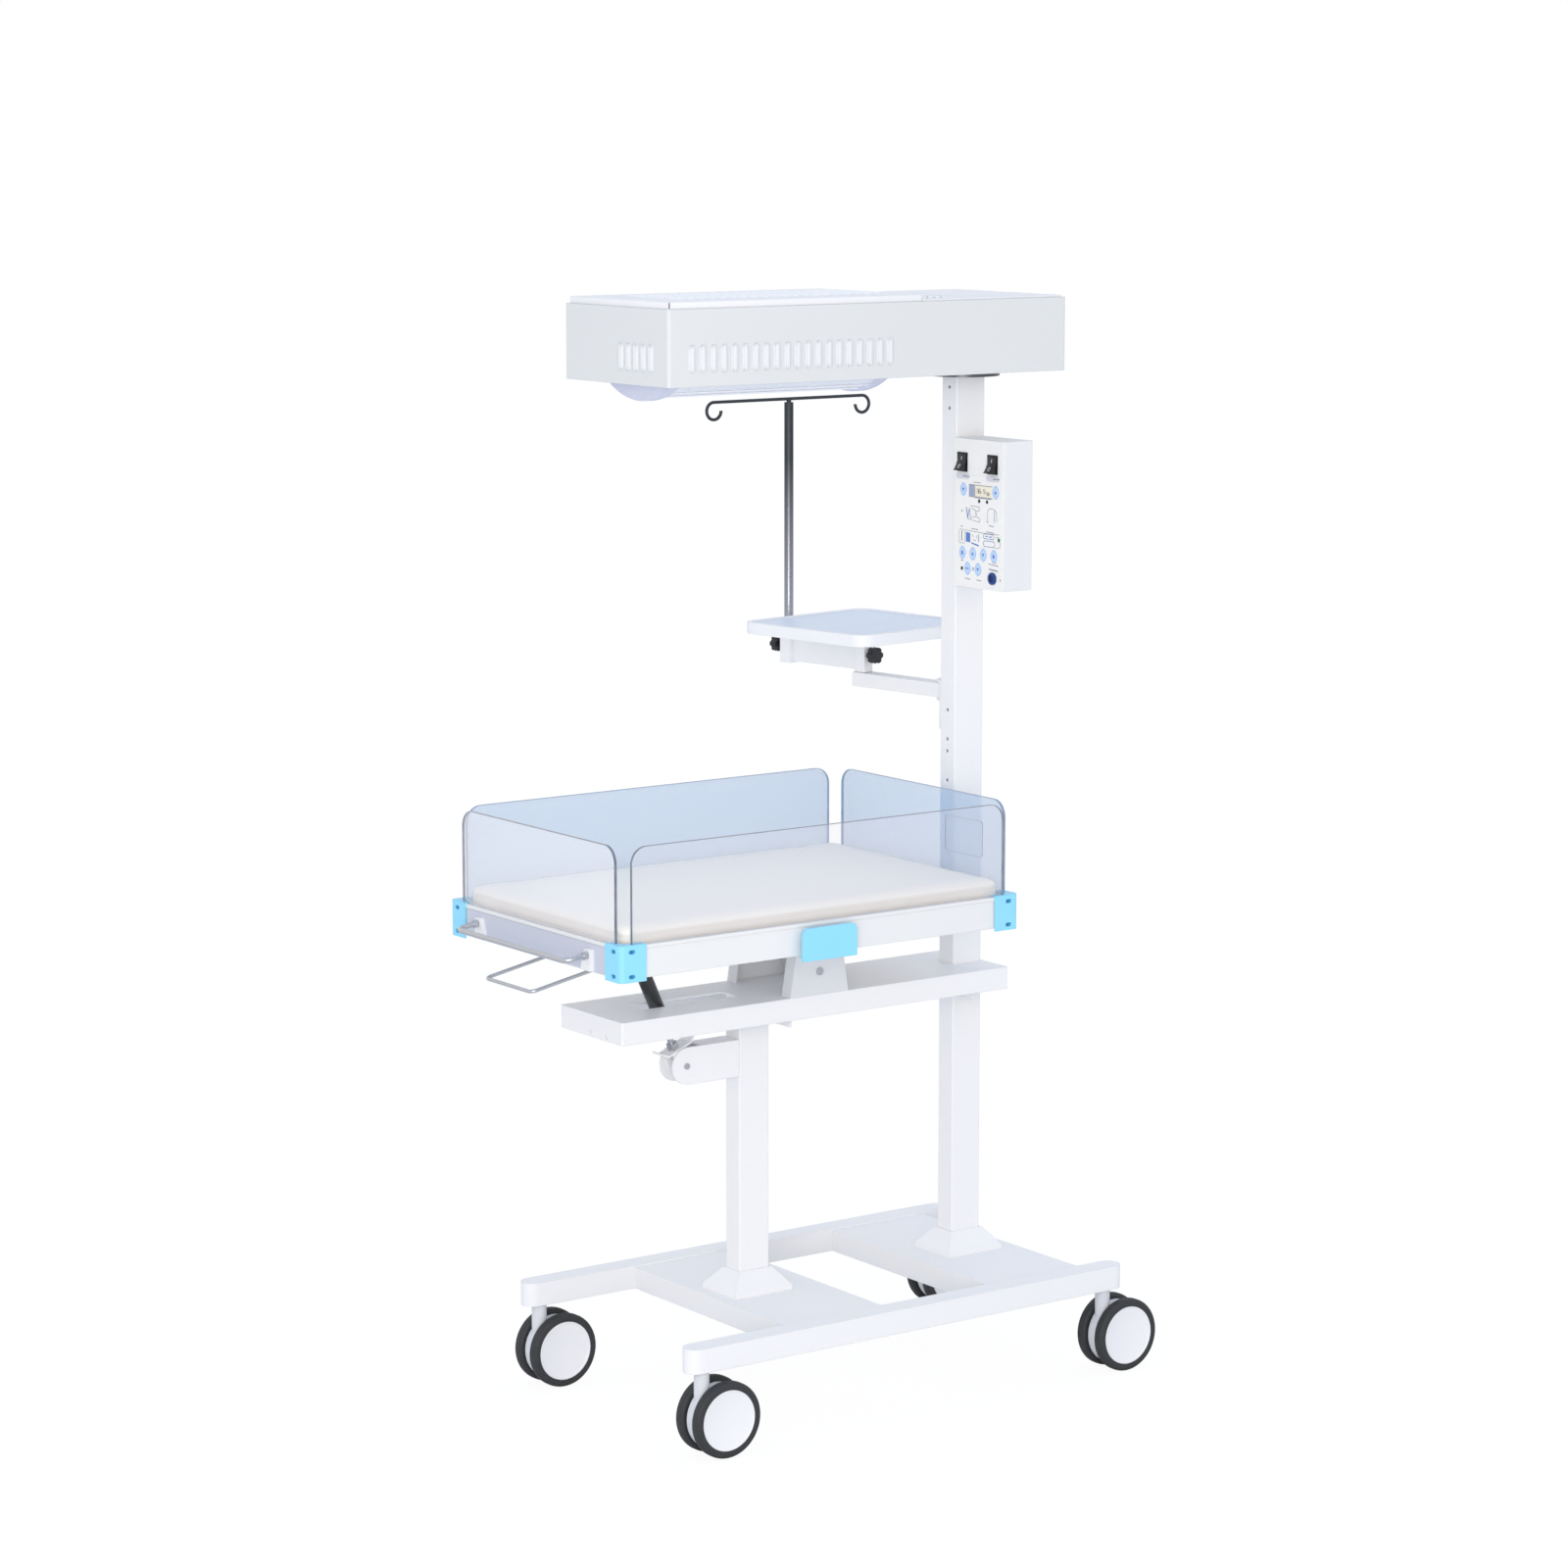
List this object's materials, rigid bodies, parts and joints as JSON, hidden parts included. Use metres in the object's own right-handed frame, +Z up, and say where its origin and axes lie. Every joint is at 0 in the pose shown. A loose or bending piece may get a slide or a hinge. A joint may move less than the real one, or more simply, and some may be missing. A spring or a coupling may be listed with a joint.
{
  "type": "infant radiant warmer",
  "caption": "Wheeled infant care bed with clear drop-in panels under a louvred radiant heater hood on a column, with control panel, swing tray and fluid pole.",
  "frame": {"origin": "on the floor under the middle of the whole object's box", "axes": "+Z up, -X to the bed's foot end, +X to the column, -Y to the control panel's side"},
  "size_m": [1.127, 0.728, 1.827],
  "materials": {
    "white_frame": "semi-gloss powder coat",
    "steel": "satin",
    "black_gloss": "gloss",
    "pale_blue": "satin",
    "clear_panel": "clear acrylic",
    "mattress": "smooth coated cover",
    "reflector": "polished",
    "quartz": "quartz tube",
    "fascia": "fine texture",
    "display": "smooth window",
    "black_plastic": "satin",
    "green_rocker": "gloss",
    "keypad": "printed film",
    "socket_blue": "gloss",
    "board": "solder mask",
    "tray_white": "satin",
    "caster_grey": "satin",
    "hub_white": "satin",
    "tyre": "matte"
  },
  "bodies": {
    "chassis": {"base_rails": "white_frame", "cross_plates": "white_frame", "front_leg": "white_frame", "main_column": "white_frame", "post_collars": "white_frame", "support_beam": "white_frame", "tilt_brackets": "white_frame", "hinge_pins": "steel", "strut_arm": "white_frame", "swivel_base": "steel", "control_box": "white_frame", "control_fascia": "fascia", "display_window": "display", "switch_bodies": "black_plastic", "keypad_overlay": "keypad", "probe_socket": "socket_blue", "control_board": "board", "arm_bracket": "white_frame"},
    "caster_1": {"caster_1_housing": "caster_grey"},
    "caster_1_wheels": {"caster_1_hubs": "hub_white", "caster_1_tyres": "tyre"},
    "caster_2": {"caster_2_housing": "caster_grey"},
    "caster_2_wheels": {"caster_2_hubs": "hub_white", "caster_2_tyres": "tyre"},
    "caster_3": {"caster_3_housing": "caster_grey"},
    "caster_3_wheels": {"caster_3_hubs": "hub_white", "caster_3_tyres": "tyre"},
    "caster_4": {"caster_4_housing": "caster_grey"},
    "caster_4_wheels": {"caster_4_hubs": "hub_white", "caster_4_tyres": "tyre"},
    "bed": {"bed_pan": "white_frame", "bed_underframe": "white_frame", "corner_blocks": "pale_blue", "side_grips": "pale_blue", "handle_brackets": "white_frame", "front_handle": "steel", "lever_hinges": "steel", "mattress": "mattress"},
    "strut_lower": {"strut_yoke": "white_frame", "strut_rod": "steel"},
    "strut_upper": {"strut_cylinder": "black_gloss"},
    "lever": {"release_lever": "steel"},
    "near_panel": {"panel_near": "clear_panel"},
    "far_panel": {"panel_far": "clear_panel"},
    "front_panel": {"panel_front": "clear_panel"},
    "rear_panel": {"panel_rear": "clear_panel"},
    "hood": {"hood_shell": "white_frame", "hood_covers": "white_frame", "reflector": "reflector", "heater_guard": "steel", "heater_tube": "quartz", "hood_hub": "white_frame"},
    "arm": {"swing_arm": "white_frame"},
    "tray_table": {"tray": "tray_white", "tray_beam": "white_frame"},
    "knob_tray": {"tray_knob": "black_plastic"},
    "knob_pole": {"pole_knob": "black_plastic"},
    "pole": {"iv_pole": "steel"},
    "rocker_power": {"power_rocker": "black_plastic"},
    "rocker_heater": {"heater_rocker": "green_rocker"}
  },
  "joints": [
    {"name": "caster_1_swivel", "type": "hinge", "parent": "chassis", "child": "caster_1", "pos_m": [-0.357, -0.332, 0.144], "axis": [0, 0, 1], "continuous": true},
    {"name": "caster_1_roll", "type": "hinge", "parent": "caster_1", "child": "caster_1_wheels", "pos_m": [-0.325, -0.332, 0.0625], "axis": [0, 1, 0], "continuous": true},
    {"name": "caster_2_swivel", "type": "hinge", "parent": "chassis", "child": "caster_2", "pos_m": [-0.357, 0.14699, 0.144], "axis": [0, 0, 1], "continuous": true},
    {"name": "caster_2_roll", "type": "hinge", "parent": "caster_2", "child": "caster_2_wheels", "pos_m": [-0.325, 0.14699, 0.0625], "axis": [0, 1, 0], "continuous": true},
    {"name": "caster_3_swivel", "type": "hinge", "parent": "chassis", "child": "caster_3", "pos_m": [0.469, -0.332, 0.144], "axis": [0, 0, 1], "continuous": true},
    {"name": "caster_3_roll", "type": "hinge", "parent": "caster_3", "child": "caster_3_wheels", "pos_m": [0.501, -0.332, 0.0625], "axis": [0, 1, 0], "continuous": true},
    {"name": "caster_4_swivel", "type": "hinge", "parent": "chassis", "child": "caster_4", "pos_m": [0.469, 0.14699, 0.144], "axis": [0, 0, 1], "continuous": true},
    {"name": "caster_4_roll", "type": "hinge", "parent": "caster_4", "child": "caster_4_wheels", "pos_m": [0.501, 0.14699, 0.0625], "axis": [0, 1, 0], "continuous": true},
    {"name": "bed_tilt", "type": "hinge", "parent": "chassis", "child": "bed", "pos_m": [-0.017, -0.09251, 0.724], "axis": [0, -1, 0], "range_deg": [-10, 10]},
    {"name": "strut_swing", "type": "hinge", "parent": "chassis", "child": "strut_lower", "pos_m": [-0.233, -0.09251, 0.58], "axis": [0, -1, 0], "range_deg": [-8.2, 8.2]},
    {"name": "strut_slide", "type": "slide", "parent": "strut_lower", "child": "strut_upper", "axis": [-0.41, 0, 0.9121], "range_m": [-0.0458, 0.0458]},
    {"name": "lever_pull", "type": "hinge", "parent": "bed", "child": "lever", "pos_m": [-0.424, -0.09251, 0.777], "axis": [0, 1, 0], "range_deg": [0, 12], "stiffness_Nm_per_rad": 1.5, "springref_deg": -34.38},
    {"name": "near_panel_lift", "type": "slide", "parent": "bed", "child": "near_panel", "axis": [0, 0, 1], "range_m": [0, 0.09]},
    {"name": "far_panel_lift", "type": "slide", "parent": "bed", "child": "far_panel", "axis": [0, 0, 1], "range_m": [0, 0.09]},
    {"name": "front_panel_lift", "type": "slide", "parent": "bed", "child": "front_panel", "axis": [0, 0, 1], "range_m": [0, 0.09]},
    {"name": "rear_panel_lift", "type": "slide", "parent": "bed", "child": "rear_panel", "axis": [0, 0, 1], "range_m": [0, 0.09]},
    {"name": "hood_swivel", "type": "hinge", "parent": "chassis", "child": "hood", "pos_m": [0.345, -0.09251, 1.7], "axis": [0, 0, 1], "range_deg": [-90, 90]},
    {"name": "arm_swing", "type": "hinge", "parent": "chassis", "child": "arm", "pos_m": [0.345, -0.0485, 1.146], "axis": [0, 0, 1], "range_deg": [-45, 60]},
    {"name": "tray_swivel", "type": "hinge", "parent": "arm", "child": "tray_table", "pos_m": [0.31603, 0.14534, 1.18], "axis": [0, 0, 1], "range_deg": [-60, 60]},
    {"name": "tray_knob_turn", "type": "hinge", "parent": "tray_table", "child": "knob_tray", "pos_m": [0.31603, 0.14534, 1.189], "axis": [-0.1478, 0.989, 0], "range_deg": [0, 270]},
    {"name": "pole_knob_turn", "type": "hinge", "parent": "tray_table", "child": "knob_pole", "pos_m": [0.28868, 0.32831, 1.189], "axis": [-0.1478, 0.989, 0], "range_deg": [0, 270]},
    {"name": "pole_slide", "type": "slide", "parent": "tray_table", "child": "pole", "axis": [0, 0, 1], "range_m": [0, 0.035]},
    {"name": "power_rock", "type": "hinge", "parent": "chassis", "child": "rocker_power", "pos_m": [0.312, -0.1365, 1.54], "axis": [0, 1, 0], "range_deg": [0, 12]},
    {"name": "heater_rock", "type": "hinge", "parent": "chassis", "child": "rocker_heater", "pos_m": [0.312, -0.21651, 1.54], "axis": [0, 1, 0], "range_deg": [0, 12]}
  ],
  "couplings": [
    {"joint": "strut_swing", "follows": "bed_tilt", "ratio": 0.80142},
    {"joint": "strut_slide", "follows": "bed_tilt", "m_per_rad": -0.25564}
  ]
}
